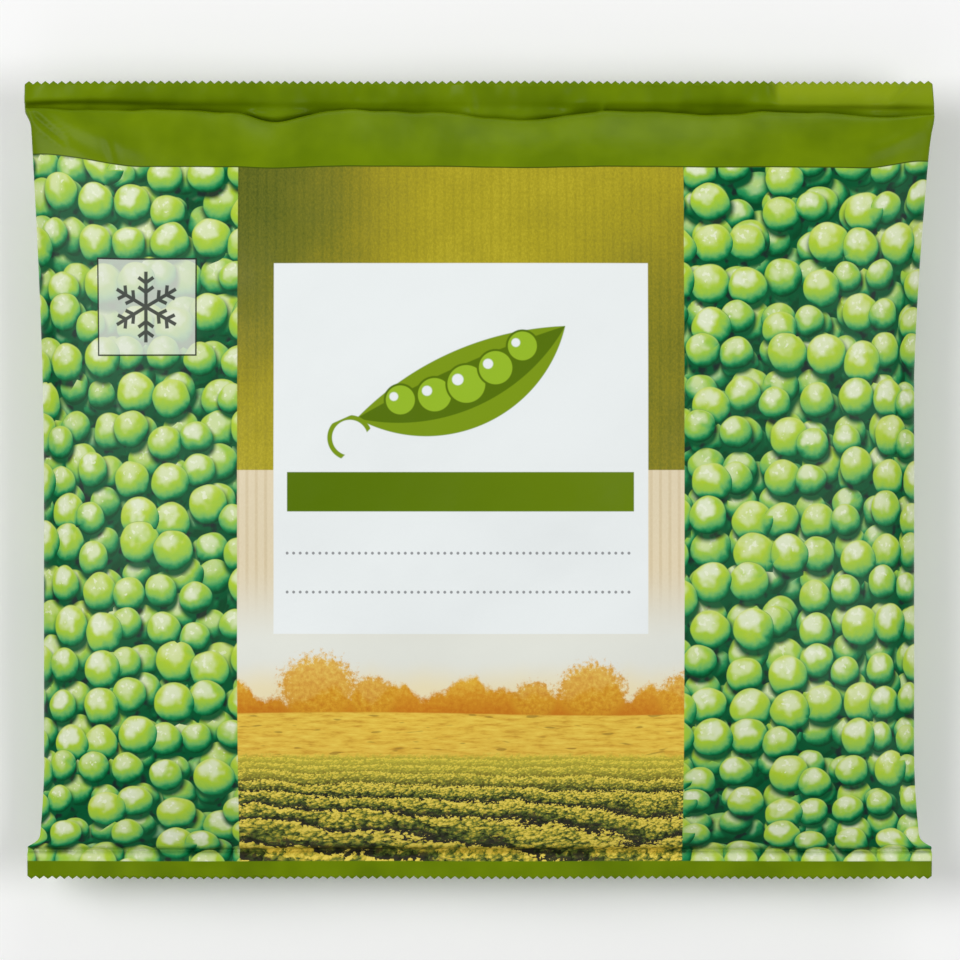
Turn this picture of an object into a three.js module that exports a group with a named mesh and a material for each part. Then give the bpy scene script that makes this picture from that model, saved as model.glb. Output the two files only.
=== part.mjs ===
// A bag of frozen peas: one filled film pillow pack, shut by a toothed seal across each end.
// It lies on its back. X runs across the bag, Y runs up its front and Z points up, in millimetres.
// The origin is on the surface that it lies on, under the middle of the bag.
import * as THREE from "three";

// The film tube and its two end seals
const FLAT_WIDTH = 210;
const LENGTH = 184;
const TOP_SEAL = 6.1;
const BOTTOM_SEAL = 6.6;
const SEAL_THICKNESS = 0.6;
const SEAL_HEIGHT = 15;
const BOTTOM_SEAL_INSET = 0.7;
const TEETH = 110;
const TOOTH_DEPTH = 0.7;

// The filled body between the seals
const CROWN_HEIGHT = 36;
const SIDE_HEIGHT = 16.5;
const PRESSED_IN = 3;
const TOP_RISE = { reach: 88, bend: 1.6, lift: 0.45 };
const BOTTOM_RISE = { reach: 48, bend: 2, lift: 0.92 };
const FRONT_DOME = { power: 2.1, round: 0.58 };
const BACK_DOME = { power: 4, round: 0.5 };

// How far each side draws in from the flat width, as the body fills
const TOP_DRAW = {
  left: { step: 1.4, fade: 2.5, full: 4.7, reach: 88 },
  right: { step: 0.5, fade: 5, full: 5.2, reach: 80 },
};
const BOTTOM_DRAW = {
  left: { step: 3.4, fade: 1.7, full: 4.8, reach: 24 },
  right: { step: 3.4, fade: 1.7, full: 4.9, reach: 24 },
};

// How far the body's front stays below the top seal's crease, and how that changes across the bag
const CREASE_GAP = 1.2;
const GAP_CHANGES = [
  { x: -105, change: -1.4, spread: 12 },
  { x: -80, change: -0.6, spread: 14 },
  { x: -47, change: 2.5, spread: 6.5 },
  { x: -29, change: -0.5, spread: 5 },
  { x: 9, change: 2.15, spread: 12 },
  { x: 28, change: -0.4, spread: 5 },
  { x: 54, change: 0.85, spread: 6 },
  { x: 93, change: 1.2, spread: 10 },
];
const GAP_FADE = 7;

// Slow waves across the flat seals, and shallow swells over the filled front
const SEAL_WAVE = { height: 0.9, length: 74, shift: 11 };
const SWELL = { height: 0.55, across: 61, along: 47 };

// The lengthwise seal on the back: a flat lap, pressed flush where the bag rests
const LAP = { left: -3, width: 11, thickness: 0.5, edge: 0.4 };

// The mesh: steps across and along the body
const ACROSS = 44;
const ALONG = 40;

const HALF_WIDTH = FLAT_WIDTH / 2;
const HALF_LENGTH = LENGTH / 2;
const TOP_CREASE = HALF_LENGTH - TOP_SEAL;
const BOTTOM_CREASE = -HALF_LENGTH + BOTTOM_SEAL;
const BODY = TOP_CREASE - BOTTOM_CREASE;
const TURN = 2 * Math.PI;

// The body's height at a distance from one seal, from 0 at the seal to 1 at its full height.
function rise(distance, { reach, bend, lift }) {
  const left = 1 - Math.min(distance / reach, 1);
  return (1 - left ** bend) ** lift;
}

function fullness(y) {
  return rise(y - BOTTOM_CREASE, BOTTOM_RISE) * rise(TOP_CREASE - y, TOP_RISE);
}

// How far one side draws in at a distance from a seal: a quick step, then a slow slope.
function drawIn(distance, { step, fade, full, reach }) {
  const past = Math.max(distance, 0);
  const quick = step * (1 - Math.exp(-((past / fade) ** 2)));
  return quick + (full - step) * Math.sin((Math.PI / 2) * Math.min(past / reach, 1));
}

function sideInset(y, side) {
  const fromTop = drawIn(TOP_CREASE - y, TOP_DRAW[side]);
  const fromBottom = drawIn(y - BOTTOM_CREASE, BOTTOM_DRAW[side]);
  const seal = BOTTOM_SEAL_INSET * Math.max(0, (TOP_CREASE - y) / BODY - 0.5) * 2;
  return Math.max(seal, Math.min(fromTop, fromBottom));
}

// The place across the bag of a share from -1, the left side, to 1, the right side.
function acrossAt(share, y) {
  return share * (HALF_WIDTH - sideInset(y, share < 0 ? "left" : "right"));
}

function creaseGap(x) {
  let gap = CREASE_GAP;
  for (const { x: middle, change, spread } of GAP_CHANGES) {
    gap += change * Math.exp(-(((x - middle) / spread) ** 2));
  }
  return gap;
}

// The place along the bag of a body row, which the gap below the top crease draws down.
function drawnDown(x, y) {
  return y - creaseGap(x) * Math.exp(-(TOP_CREASE - y) / GAP_FADE);
}

function sealHeight(x) {
  return SEAL_HEIGHT + SEAL_WAVE.height * Math.sin((TURN * (x + SEAL_WAVE.shift)) / SEAL_WAVE.length);
}

function dome(share, { power, round }) {
  return Math.max(0, 1 - Math.abs(share) ** power) ** round;
}

function swell(x, y) {
  return SWELL.height * Math.sin((TURN * x) / SWELL.across) * Math.cos((TURN * y) / SWELL.along);
}

// The height of the side line, where the front and the back of the body meet.
function sideLine(x, y) {
  const full = fullness(y);
  return sealHeight(x) * (1 - full) + SIDE_HEIGHT * full;
}

function frontPoint(share, y) {
  const x = acrossAt(share, y);
  const side = sideLine(x, y) + SEAL_THICKNESS / 2;
  const puff = fullness(y) * dome(share, FRONT_DOME);
  return [x, drawnDown(x, y), side + puff * (CROWN_HEIGHT - side + swell(x, y))];
}

// How much of the lap's thickness lies at a place across the back.
function lapCover(x) {
  const inside = Math.min(x - LAP.left, LAP.left + LAP.width - x);
  return THREE.MathUtils.clamp(inside / LAP.edge + 0.5, 0, 1);
}

function backPoint(share, y) {
  const x = acrossAt(share, y);
  const side = sideLine(x, y) - SEAL_THICKNESS / 2;
  const puff = fullness(y) * dome(share, BACK_DOME);
  const film = side - puff * (side + PRESSED_IN);
  return [x, drawnDown(x, y), Math.max(0, film - LAP.thickness * lapCover(x))];
}

function evenShares(steps) {
  return Array.from({ length: steps + 1 }, (_, i) => (2 * i) / steps - 1);
}

// The back's shares: even steps, with the lap's two edges in place of the steps inside it.
function backShares() {
  const half = LAP.edge / 2;
  const right = LAP.left + LAP.width;
  const edges = [LAP.left - half, LAP.left + half, right - half, right + half];
  const step = FLAT_WIDTH / ACROSS;
  const kept = evenShares(ACROSS).filter((share) => {
    const x = share * HALF_WIDTH;
    return edges.every((edge) => Math.abs(x - edge) > step / 2);
  });
  return [...kept, ...edges.map((x) => x / HALF_WIDTH)].sort((a, b) => a - b);
}

// Every row of the mesh has a front and a back, each a list of points with their shares across.
const positions = [];
const triangles = [];

function addPoint(point) {
  positions.push(...point);
  return positions.length / 3 - 1;
}

function makeRow(frontList, backList, front, back) {
  return {
    front: frontList.map((share) => ({ share, index: addPoint(front(share)) })),
    back: backList.map((share) => ({ share, index: addPoint(back(share)) })),
  };
}

function bodyRow(y) {
  return makeRow(
    evenShares(ACROSS),
    backShares(),
    (share) => frontPoint(share, y),
    (share) => backPoint(share, y),
  );
}

// The toothed edge: every tooth has a tip and shares its two valleys with its neighbours.
function toothRow(tipY, inward) {
  const shares = evenShares(2 * TEETH);
  const edgeY = (share) => {
    const isTip = Math.round(((share + 1) / 2) * 2 * TEETH) % 2 === 1;
    return isTip ? tipY : tipY + inward * TOOTH_DEPTH;
  };
  const place = (share, lift) => {
    const x = acrossAt(share, tipY);
    return [x, edgeY(share), sealHeight(x) + lift];
  };
  const half = SEAL_THICKNESS / 2;
  return makeRow(
    shares,
    shares,
    (share) => place(share, half),
    (share) => place(share, -half),
  );
}

function addTriangle(a, b, c, flipped) {
  triangles.push(...(flipped ? [a, c, b] : [a, b, c]));
}

// Joins two neighbouring lists of points, which may differ in number, with triangles.
function joinLists(lower, upper, flipped) {
  let i = 0;
  let j = 0;
  while (i < lower.length - 1 || j < upper.length - 1) {
    const nextLower = i < lower.length - 1 ? lower[i + 1].share + lower[i].share : Infinity;
    const nextUpper = j < upper.length - 1 ? upper[j + 1].share + upper[j].share : Infinity;
    if (nextLower <= nextUpper) {
      addTriangle(lower[i].index, lower[i + 1].index, upper[j].index, flipped);
      i += 1;
    } else {
      addTriangle(lower[i].index, upper[j + 1].index, upper[j].index, flipped);
      j += 1;
    }
  }
}

function joinRows(lower, upper) {
  joinLists(lower.front, upper.front, false);
  joinLists(lower.back, upper.back, true);
  joinLists([lower.back[0], lower.front[0]], [upper.back[0], upper.front[0]], false);
  joinLists([lower.back.at(-1), lower.front.at(-1)], [upper.back.at(-1), upper.front.at(-1)], true);
}

// Body rows lie closer together towards the seals, where the body turns down.
const rows = [toothRow(-HALF_LENGTH, 1)];
for (let i = 0; i <= ALONG; i += 1) {
  const share = (1 - Math.cos((Math.PI * i) / ALONG)) / 2;
  rows.push(bodyRow(BOTTOM_CREASE + share * BODY));
}
rows.push(toothRow(HALF_LENGTH, -1));

for (let i = 1; i < rows.length; i += 1) {
  joinRows(rows[i - 1], rows[i]);
}
joinLists(rows[0].back, rows[0].front, false);
joinLists(rows.at(-1).back, rows.at(-1).front, true);

const geometry = new THREE.BufferGeometry();
geometry.setAttribute("position", new THREE.Float32BufferAttribute(positions, 3));
geometry.setIndex(triangles);
geometry.computeVertexNormals();

const film = new THREE.MeshStandardMaterial({ color: 0x6a8412, roughness: 0.35, metalness: 0 });
const bag = new THREE.Mesh(geometry, film);
bag.name = "pea_bag";

const group = new THREE.Group();
group.add(bag);

export default group;
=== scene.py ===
# A bag of frozen peas lying on its back: the printed film, its seals and folds, and a plain studio.
# X runs across the bag, Y runs up its front and Z points up. Sizes are in millimetres until the mesh is
# made, and the studio's are in metres.
import math

import bpy
import numpy as np
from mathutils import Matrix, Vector


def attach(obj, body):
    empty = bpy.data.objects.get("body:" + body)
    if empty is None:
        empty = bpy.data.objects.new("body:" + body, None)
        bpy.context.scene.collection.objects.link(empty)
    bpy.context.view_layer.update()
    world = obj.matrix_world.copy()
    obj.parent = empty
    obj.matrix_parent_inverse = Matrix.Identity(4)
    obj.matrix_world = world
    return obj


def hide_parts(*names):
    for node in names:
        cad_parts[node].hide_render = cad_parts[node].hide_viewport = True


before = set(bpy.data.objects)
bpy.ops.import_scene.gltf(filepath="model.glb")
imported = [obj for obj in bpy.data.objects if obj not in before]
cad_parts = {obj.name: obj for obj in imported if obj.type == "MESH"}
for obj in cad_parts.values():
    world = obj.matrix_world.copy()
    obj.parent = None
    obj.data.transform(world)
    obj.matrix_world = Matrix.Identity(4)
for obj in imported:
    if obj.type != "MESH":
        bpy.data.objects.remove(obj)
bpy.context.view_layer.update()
METRE = 0.001

# The photograph: the picture's side in pixels, the bag's centre in it, the real size of a pixel at the
# seals' height, and how high the camera is over the floor
PHOTO_SIDE = 960
PHOTO_X = 479.5
PHOTO_Y = 479.9
PIXEL = 0.2305
CAMERA_HEIGHT = 1600

# The film tube and its two end seals
FLAT_WIDTH = 210
LENGTH = 184
TOP_SEAL = 6.1
BOTTOM_SEAL = 6.6
SEAL_THICKNESS = 0.5
SEAL_HEIGHT = 15
BOTTOM_SEAL_INSET = 0.7
TOP_CORNER_INSETS = (0.1, 0.6)
TEETH = 110
TOOTH_DEPTH = 0.7

# The filled body between the seals: its height, that of its side folds, how far the floor presses its back
# in, how fast it rises from each seal, and how round it is across
CROWN_HEIGHT = 36
SIDE_HEIGHT = 16.5
PRESSED_IN = 3
TOP_RISE = {"reach": 88, "bend": 1.6, "lift": 0.45}
BOTTOM_RISE = {"reach": 48, "bend": 2, "lift": 0.92}
FRONT_DOME = {"power": 2.1, "round": 0.58}
BACK_DOME = {"power": 4, "round": 0.5}

# How far the left side and the right side draw in from the flat width, as the body fills
TOP_DRAW = (
    {"step": 1.4, "fade": 2.5, "full": 4.7, "reach": 88},
    {"step": 0.5, "fade": 5, "full": 5.2, "reach": 80},
)
BOTTOM_DRAW = (
    {"step": 3.4, "fade": 1.7, "full": 4.8, "reach": 24},
    {"step": 3.4, "fade": 1.7, "full": 4.9, "reach": 24},
)

# How far the front of the body stays below the top seal's crease, the least gap that the groove's form
# counts with, how the gap changes across the bag, as (place, change, spread), and how soon the rows below
# the crease forget it
CREASE_GAP = 1.6
SMALLEST_GAP = 0.05
GAP_CHANGES = (
    (-105, -1.4, 12), (-80, -0.6, 14), (-47, 2.5, 6.5), (-29, -0.5, 5),
    (9, 2.15, 12), (28, -0.4, 5), (54, 0.85, 6), (93, 1.2, 10),
)
GAP_FADE = 7

# The slow wave along both seals, and how far the front bulges out over the top crease
SEAL_WAVE = {"height": 0.9, "length": 74, "shift": 11}
OVERHANG = {"reach": 1.1, "from_crease": 1.2}

# The groove along each crease. The top one sinks from a share of its depth at the crease to the whole at
# the body, and holds a raised facet where its gap is wide. The lists change its line and that share, and
# give the stretches where it is shallow, as (place, change, spread)
TOP_GROOVE = {"depth": 2.7, "width": 0.75, "start": 0.32, "into_body": 0.8}
BOTTOM_GROOVE = {"depth": 2.7, "width": 0.45, "into_body": 0.5}
GROOVE_SHIFTS = ((-92, 0.7, 18), (95, -0.6, 35))
GROOVE_STARTS = ((-96, 0.55, 26), (98, 0.5, 24))
GROOVE_SHALLOWS = ((3, 0.78, 17), (-34, 0.35, 17), (28.4, 0.6, 0.7), (104, 0.4, 5))
FACET = {"from": 1.9, "whole": 3.2, "low": 0.2}

# Shallow dips beside the top crease: (from, to, how far they reach up the seal)
DIPS = (
    (-90.5, -52.2, 1.9), (-39.5, -28.5, 2.6), (-22.2, -3.3, 2.2), (-1.0, 18.6, 2.4), (46.0, 62.0, 1.8),
)
DIP_DEPTH = 0.9
DIP_EDGE = 1.2

# Stretches of the top seal that lean outwards: where each starts and ends at the crease, how far those
# two lines slant for each millimetre outwards, and the drop at the teeth
LEANS = (
    {"from": 68.6, "to": 93.4, "slants": (-0.2, 0.9), "drop": 2.4},
    {"from": -30, "to": -8, "slants": (0.45, 0.45), "drop": 0.5},
    {"from": 30, "to": 60, "slants": (0.45, 0.45), "drop": -0.5},
    {"from": -110, "to": -103.8, "slants": (0.45, 0.45), "drop": 1},
)
LEAN_EDGE = 0.8

# Fine crinkles of the top seal, and a wobble of the body's edge below its crease
SEAL_CRINKLES = {"height": 0.3, "size": 3.1, "stretch": 0.8, "seed": 14}
EDGE_WOBBLE = {"reach": 0.25, "size": 5, "seed": 15}

# Slow waves over the filled front, pleats that fade away from the seals, and lumps from the fill under
# the film, which are higher towards the sides
SWELL = {"height": 0.55, "across": 61, "along": 47}
DRIFTS = ({"height": 0.42, "size": 24, "seed": 3}, {"height": 0.16, "size": 11, "seed": 5})
PLEATS = {"height": 0.4, "size": 13, "stretch": 0.2, "fade": 22, "seed": 8}
FRONT_LUMPS = {"height": 0.1, "size": 4.6, "seed": 11}
SIDE_LUMPS = {"height": 0.22, "power": 6}
BACK_LUMPS = {"height": 0.3, "size": 4.6, "seed": 12}

# Short creases in the film: their two ends, depth and half width. Each has a shoulder on both sides, with
# its height in depths and its place in half widths
SHOULDER = {"height": 0.45, "place": 2}
CREASES = (
    {"start": (-103.2, 83.8), "end": (-94.6, 77.4), "depth": 0.75, "half": 0.55},
    {"start": (-102.0, 81.5), "end": (-82.0, 69.0), "depth": -0.22, "half": 1.2},
    {"start": (-98.0, 83.0), "end": (-76.0, 75.0), "depth": -0.22, "half": 1.4},
    {"start": (-86.2, 79.5), "end": (-83.6, 72.0), "depth": -0.2, "half": 0.7},
    {"start": (103.0, 82.0), "end": (88.0, 75.0), "depth": -0.3, "half": 1.6},
)

# How far the print is pulled towards the top corners: where that starts across the bag, where it is whole,
# and by how much. It is kept for a way below the crease, and then it fades
CORNER_PULLS = (
    {"start": -76.5, "whole": -101, "pull": 3.3},
    {"start": 88, "whole": 102, "pull": 1.9},
)
PULL_KEPT = 16
PULL_FADE = 12

# The lengthwise seal on the back
LAP = {"left": -3, "width": 11, "thickness": 0.5, "edge": 0.4}

# The mesh: rows along the body and each seal, columns for each tooth on the front, columns on the back,
# and how much both crowd towards the sides and the creases. The row before a seal's last one stays the
# margin, in tooth depths, from the teeth's tips
BODY_ROWS = 150
TOP_SEAL_ROWS = 18
BOTTOM_SEAL_ROWS = 8
SEAL_CROWDING = 1.4
TOOTH_MARGIN = 1.3
TOOTH_COLUMNS = 4
BACK_COLUMNS = 110
SIDE_CROWDING = 0.6
CREASE_CROWDING = 2.5
CREASE_CROWDING_REACH = 6

# The side of the grid of random heights, how closely the film that the bulge takes up keeps to the side
# folds, and the steps in which the film is measured along and across
LATTICE = 128
FOLD_POWER = 9
FINE_STEPS = 6000
ACROSS_STEPS = 1001

HALF_WIDTH = FLAT_WIDTH / 2
HALF_LENGTH = LENGTH / 2
TOP_CREASE = HALF_LENGTH - TOP_SEAL
BOTTOM_CREASE = -HALF_LENGTH + BOTTOM_SEAL
BODY = TOP_CREASE - BOTTOM_CREASE


def across_from_pixel(x):
    return (x - PHOTO_X) * PIXEL


def along_from_pixel(y):
    return (PHOTO_Y - y) * PIXEL


# The body's form, with arrays of places for arguments

def rise(distance, reach, bend, lift):
    left = 1 - np.clip(distance / reach, 0, 1)
    return (1 - left ** bend) ** lift


def fullness(y):
    return rise(y - BOTTOM_CREASE, **BOTTOM_RISE) * rise(TOP_CREASE - y, **TOP_RISE)


def draw_in(distance, step, fade, full, reach):
    past = np.maximum(distance, 0)
    quick = step * (1 - np.exp(-((past / fade) ** 2)))
    return quick + (full - step) * np.sin(math.pi / 2 * np.minimum(past / reach, 1))


def side_inset(y, side):
    from_top = draw_in(TOP_CREASE - y, **TOP_DRAW[side])
    from_bottom = draw_in(y - BOTTOM_CREASE, **BOTTOM_DRAW[side])
    seal = BOTTOM_SEAL_INSET * np.maximum(0, (TOP_CREASE - y) / BODY - 0.5) * 2
    corner = TOP_CORNER_INSETS[side] * np.clip((y - TOP_CREASE) / TOP_SEAL, 0, 1)
    return np.maximum(seal + corner, np.minimum(from_top, from_bottom))


def across_at(share, y):
    return share * (HALF_WIDTH - np.where(share < 0, side_inset(y, 0), side_inset(y, 1)))


def bumps(x, changes):
    return sum(change * np.exp(-(((x - middle) / spread) ** 2)) for middle, change, spread in changes)


def seal_height(x):
    turn = 2 * math.pi * (x + SEAL_WAVE["shift"]) / SEAL_WAVE["length"]
    return SEAL_HEIGHT + SEAL_WAVE["height"] * np.sin(turn)


def window(x, low, high, edge):
    """1 between low and high and 0 outside, with soft edges."""
    return (np.tanh((x - low) / edge) - np.tanh((x - high) / edge)) / 2


def ease(share):
    share = np.clip(share, 0, 1)
    return share * share * (3 - 2 * share)


def wander(x, y, size, seed):
    """A smooth random height from -1 to 1 that changes over the given size."""
    draws = np.random.default_rng(seed).uniform(-1, 1, (LATTICE, LATTICE))
    across = x / size + LATTICE / 2
    along = y / size + LATTICE / 2
    i = np.floor(across).astype(int)
    j = np.floor(along).astype(int)
    s = ease(across - i)
    t = ease(along - j)
    low = draws[i, j] * (1 - s) + draws[i + 1, j] * s
    high = draws[i, j + 1] * (1 - s) + draws[i + 1, j + 1] * s
    return low * (1 - t) + high * t


def crease_gap(x):
    wobble = wander(x, np.zeros_like(x), EDGE_WOBBLE["size"], EDGE_WOBBLE["seed"])
    return CREASE_GAP + bumps(x, GAP_CHANGES) + EDGE_WOBBLE["reach"] * wobble


def dome(share, power, round):
    return np.maximum(0, 1 - np.abs(share) ** power) ** round


def groove_depth(x):
    return TOP_GROOVE["depth"] * (1 - np.minimum(bumps(x, GROOVE_SHALLOWS), 1))


def crease_height(x, y):
    """The height that the body starts from at its creases."""
    shallow = DIP_DEPTH * sum(window(x, low, high, DIP_EDGE) for low, high, _ in DIPS)
    top = (groove_depth(x) + shallow) * np.exp(-(((TOP_CREASE - y) / TOP_GROOVE["into_body"]) ** 2))
    bottom = BOTTOM_GROOVE["depth"] * np.exp(-(((y - BOTTOM_CREASE) / BOTTOM_GROOVE["into_body"]) ** 2))
    return seal_height(x) - top - bottom


def leaning(x, outside, lean):
    low = lean["from"] + lean["slants"][0] * outside
    high = lean["to"] + lean["slants"][1] * outside
    return lean["drop"] * window(x, low, high, LEAN_EDGE)


def top_seal_height(x, past):
    """The top seal at a distance past its straight crease, which is below 0 in the gap before the body."""
    past = past - bumps(x, GROOVE_SHIFTS)
    gap = np.maximum(crease_gap(x) + bumps(x, GROOVE_SHIFTS), SMALLEST_GAP)
    outside = np.maximum(past, 0)
    outer = np.exp(-((outside / TOP_GROOVE["width"]) ** 2))
    shallow = sum(
        window(x, low, high, DIP_EDGE) * np.exp(-((outside / reach) ** 2)) for low, high, reach in DIPS
    )
    raised = (1 - FACET["low"]) * ease((gap - FACET["from"]) / (FACET["whole"] - FACET["from"]))
    across_gap = np.clip(-past / gap, 0, 1)
    start = TOP_GROOVE["start"] + bumps(x, GROOVE_STARTS)
    sunk = start + (1 - start) * across_gap
    inner = sunk * (1 - raised * np.sin(math.pi * across_gap) ** 2)
    lean = sum(leaning(x, outside, each) for each in LEANS)
    dip = groove_depth(x) * np.where(past > 0, start * outer, inner)
    crinkle = wander(x, past * SEAL_CRINKLES["stretch"], SEAL_CRINKLES["size"], SEAL_CRINKLES["seed"])
    height = seal_height(x) + SEAL_CRINKLES["height"] * crinkle
    return height - dip - DIP_DEPTH * shallow - lean * np.clip(past / TOP_SEAL, 0, 1)


def bottom_seal_height(x, past):
    return seal_height(x) - BOTTOM_GROOVE["depth"] * np.exp(-((past / BOTTOM_GROOVE["width"]) ** 2))


def crease_line(x, y, start, end, depth, half):
    run = np.array(end) - np.array(start)
    length = np.hypot(*run)
    along = ((x - start[0]) * run[0] + (y - start[1]) * run[1]) / length ** 2
    off = ((x - start[0]) * run[1] - (y - start[1]) * run[0]) / length
    fade = np.sin(math.pi * np.clip(along, 0, 1)) ** 0.5
    beside = (np.abs(off) - SHOULDER["place"] * half) / half
    trough = np.exp(-((off / half) ** 2)) - SHOULDER["height"] * np.exp(-(beside ** 2))
    return -depth * fade * trough


def relief(x, y):
    """Small rises and falls of the filled front."""
    across = np.sin(2 * math.pi * x / SWELL["across"])
    along = np.cos(2 * math.pi * y / SWELL["along"])
    height = SWELL["height"] * across * along
    for each in DRIFTS:
        height = height + each["height"] * wander(x, y, each["size"], each["seed"])
    near = np.exp(-(TOP_CREASE - y) / PLEATS["fade"]) + np.exp(-(y - BOTTOM_CREASE) / PLEATS["fade"])
    pleats = wander(x, y * PLEATS["stretch"], PLEATS["size"], PLEATS["seed"])
    height = height + PLEATS["height"] * near * pleats
    lumps = FRONT_LUMPS["height"] + SIDE_LUMPS["height"] * (x / HALF_WIDTH) ** SIDE_LUMPS["power"]
    return height + lumps * wander(x, y, FRONT_LUMPS["size"], FRONT_LUMPS["seed"])


def side_line(x, y):
    full = fullness(y)
    return crease_height(x, y) * (1 - full) + SIDE_HEIGHT * full


def drawn_down(x, y):
    """Where a row lies along the bag: the gap below the top crease draws the rows near it down."""
    inside = np.maximum(TOP_CREASE - y, 0)
    past = np.maximum(y - TOP_CREASE, 0)
    return y - crease_gap(x) * np.where(past > 0, 1 - past / TOP_SEAL, np.exp(-inside / GAP_FADE))


def hang_out(y):
    share = np.maximum(TOP_CREASE - y, 0) / OVERHANG["from_crease"]
    return OVERHANG["reach"] * share * np.exp(1 - share)


def seal_or_body(x, y, body):
    """The height of the seals outside the creases, and of the body between them."""
    top = top_seal_height(x, drawn_down(x, y) - TOP_CREASE)
    bottom = bottom_seal_height(x, BOTTOM_CREASE - y)
    return np.where(y > TOP_CREASE, top, np.where(y < BOTTOM_CREASE, bottom, body))


def front_height(share, x, y):
    side = side_line(x, y)
    body = side + fullness(y) * dome(share, **FRONT_DOME) * (CROWN_HEIGHT - side + relief(x, y))
    body = body + sum(crease_line(x, y, **each) for each in CREASES)
    return seal_or_body(x, y, body) + SEAL_THICKNESS / 2


def lap_cover(share):
    x = share * HALF_WIDTH
    inside = np.minimum(x - LAP["left"], LAP["left"] + LAP["width"] - x)
    return np.clip(inside / LAP["edge"] + 0.5, 0, 1)


def back_height(share, x, y):
    side = side_line(x, y)
    lumps = BACK_LUMPS["height"] * wander(x, y, BACK_LUMPS["size"], BACK_LUMPS["seed"])
    body = side - fullness(y) * dome(share, **BACK_DOME) * (side + PRESSED_IN + lumps)
    film = seal_or_body(x, y, body) - SEAL_THICKNESS / 2
    return np.maximum(0, film - LAP["thickness"] * lap_cover(share))


# Rows: places along the bag, crowded towards the creases, with the film's own length up to each

def seal_rows(crease, count):
    """Rows from a crease to the teeth's tips. The last but one lies inside the teeth's valleys."""
    flat = HALF_LENGTH - TOOTH_MARGIN * TOOTH_DEPTH - crease
    return np.append(crease + flat * np.linspace(0, 1, count)[1:] ** SEAL_CROWDING, HALF_LENGTH)


def film_rows():
    fine = BOTTOM_CREASE + BODY * (1 - np.cos(np.linspace(0, math.pi, FINE_STEPS))) / 2
    crown = fullness(fine) * (CROWN_HEIGHT - SEAL_HEIGHT)
    length = np.concatenate([[0], np.cumsum(np.hypot(np.diff(fine), np.diff(crown)))])
    near = np.minimum(length, length[-1] - length)
    weight = 1 + CREASE_CROWDING * np.exp(-near / CREASE_CROWDING_REACH)
    steps = np.concatenate([[0], np.cumsum((weight[1:] + weight[:-1]) / 2 * np.diff(length))])
    picked = np.interp(np.linspace(0, steps[-1], BODY_ROWS + 1), steps, length)
    body_y = np.interp(picked, length, fine)
    middle = np.interp(0, fine, length)
    low = -seal_rows(-BOTTOM_CREASE, BOTTOM_SEAL_ROWS)[::-1]
    high = seal_rows(TOP_CREASE, TOP_SEAL_ROWS)
    y = np.concatenate([low, body_y, high])
    film = np.concatenate([low - BOTTOM_CREASE, picked, length[-1] + high - TOP_CREASE]) - middle
    return y, film


ROW_Y, ROW_FILM = film_rows()
FILM_BOTTOM = ROW_FILM[0]
FILM_LENGTH = ROW_FILM[-1] - ROW_FILM[0]
GIRTH = 2 * FLAT_WIDTH


def film_at(pixel_y):
    """How far along the film, from the middle of the front, a row of the photograph lies."""
    height = SEAL_HEIGHT + fullness(ROW_Y) * (CROWN_HEIGHT - SEAL_HEIGHT)
    seen = ROW_Y * (CAMERA_HEIGHT - SEAL_HEIGHT) / (CAMERA_HEIGHT - height)
    return float(np.interp(along_from_pixel(pixel_y), seen, ROW_FILM))


def crowded(even, y):
    past = np.minimum(y + HALF_LENGTH, HALF_LENGTH - y)
    crowd = SIDE_CROWDING * np.clip(past / (2 * TOP_SEAL), 0, 1)
    return even * (1 - crowd) + np.sin(math.pi / 2 * even) * crowd


def back_shares():
    """Even steps across the back, with the lap seal's two edges in place of the steps next to them."""
    even = np.linspace(-1, 1, BACK_COLUMNS + 1)
    half = LAP["edge"] / 2
    right = LAP["left"] + LAP["width"]
    edges = np.array([LAP["left"] - half, LAP["left"] + half, right - half, right + half]) / HALF_WIDTH
    gap = np.abs(even[:, None] - edges[None, :]).min(axis=1)
    return np.sort(np.concatenate([even[gap > 1 / BACK_COLUMNS], edges]))


def sheet(share, height, out):
    """One side of the film: a grid of points, row by row, for rows of shares across the bag."""
    y = np.broadcast_to(ROW_Y[:, None], share.shape)
    x = across_at(share, y)
    return np.stack([x, drawn_down(x, y) + out * hang_out(y), height(share, x, y)], axis=-1)


def tooth_edge(grid, row, edge, inward):
    """Moves a row of points to a saw edge with its tips at the given place."""
    step = np.arange(grid.shape[1]) % TOOTH_COLUMNS
    deep = np.abs(2 * step / TOOTH_COLUMNS - 1)
    grid[row, :, 1] = edge + inward * TOOTH_DEPTH * deep


def run_across(grid):
    step = np.linalg.norm(np.diff(grid[..., [0, 2]], axis=1), axis=-1)
    return np.concatenate([np.zeros((len(step), 1)), np.cumsum(step, axis=1)], axis=1)


def front_places(x):
    """How far round the film each column lies. The film that the bulge takes up is near the side folds."""
    reach = np.where(x < 0, -x[:, [0]], x[:, [-1]])
    return x + np.sign(x) * (GIRTH / 4 - reach) * (np.abs(x) / reach) ** FOLD_POWER


def film_across(pixel_x):
    """How far round the film, at the middle of the bag's length, a column of the photograph lies."""
    share = np.linspace(-1, 1, ACROSS_STEPS)
    middle = np.zeros_like(share)
    x = across_at(share, middle)
    seen = x * (CAMERA_HEIGHT - SEAL_HEIGHT) / (CAMERA_HEIGHT - front_height(share, x, middle))
    return float(np.interp(across_from_pixel(pixel_x), seen, front_places(x[None, :])[0]))


def back_places(back, seam):
    """How far round the film the back lies, up to the seam: once from the left fold, once from the right."""
    run = run_across(back)
    quarter = GIRTH / 4
    from_left = -quarter - run / run[:, [seam]] * quarter
    from_right = quarter + (run[:, [-1]] - run) / (run[:, [-1]] - run[:, [seam]]) * quarter
    return from_left, from_right


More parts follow.
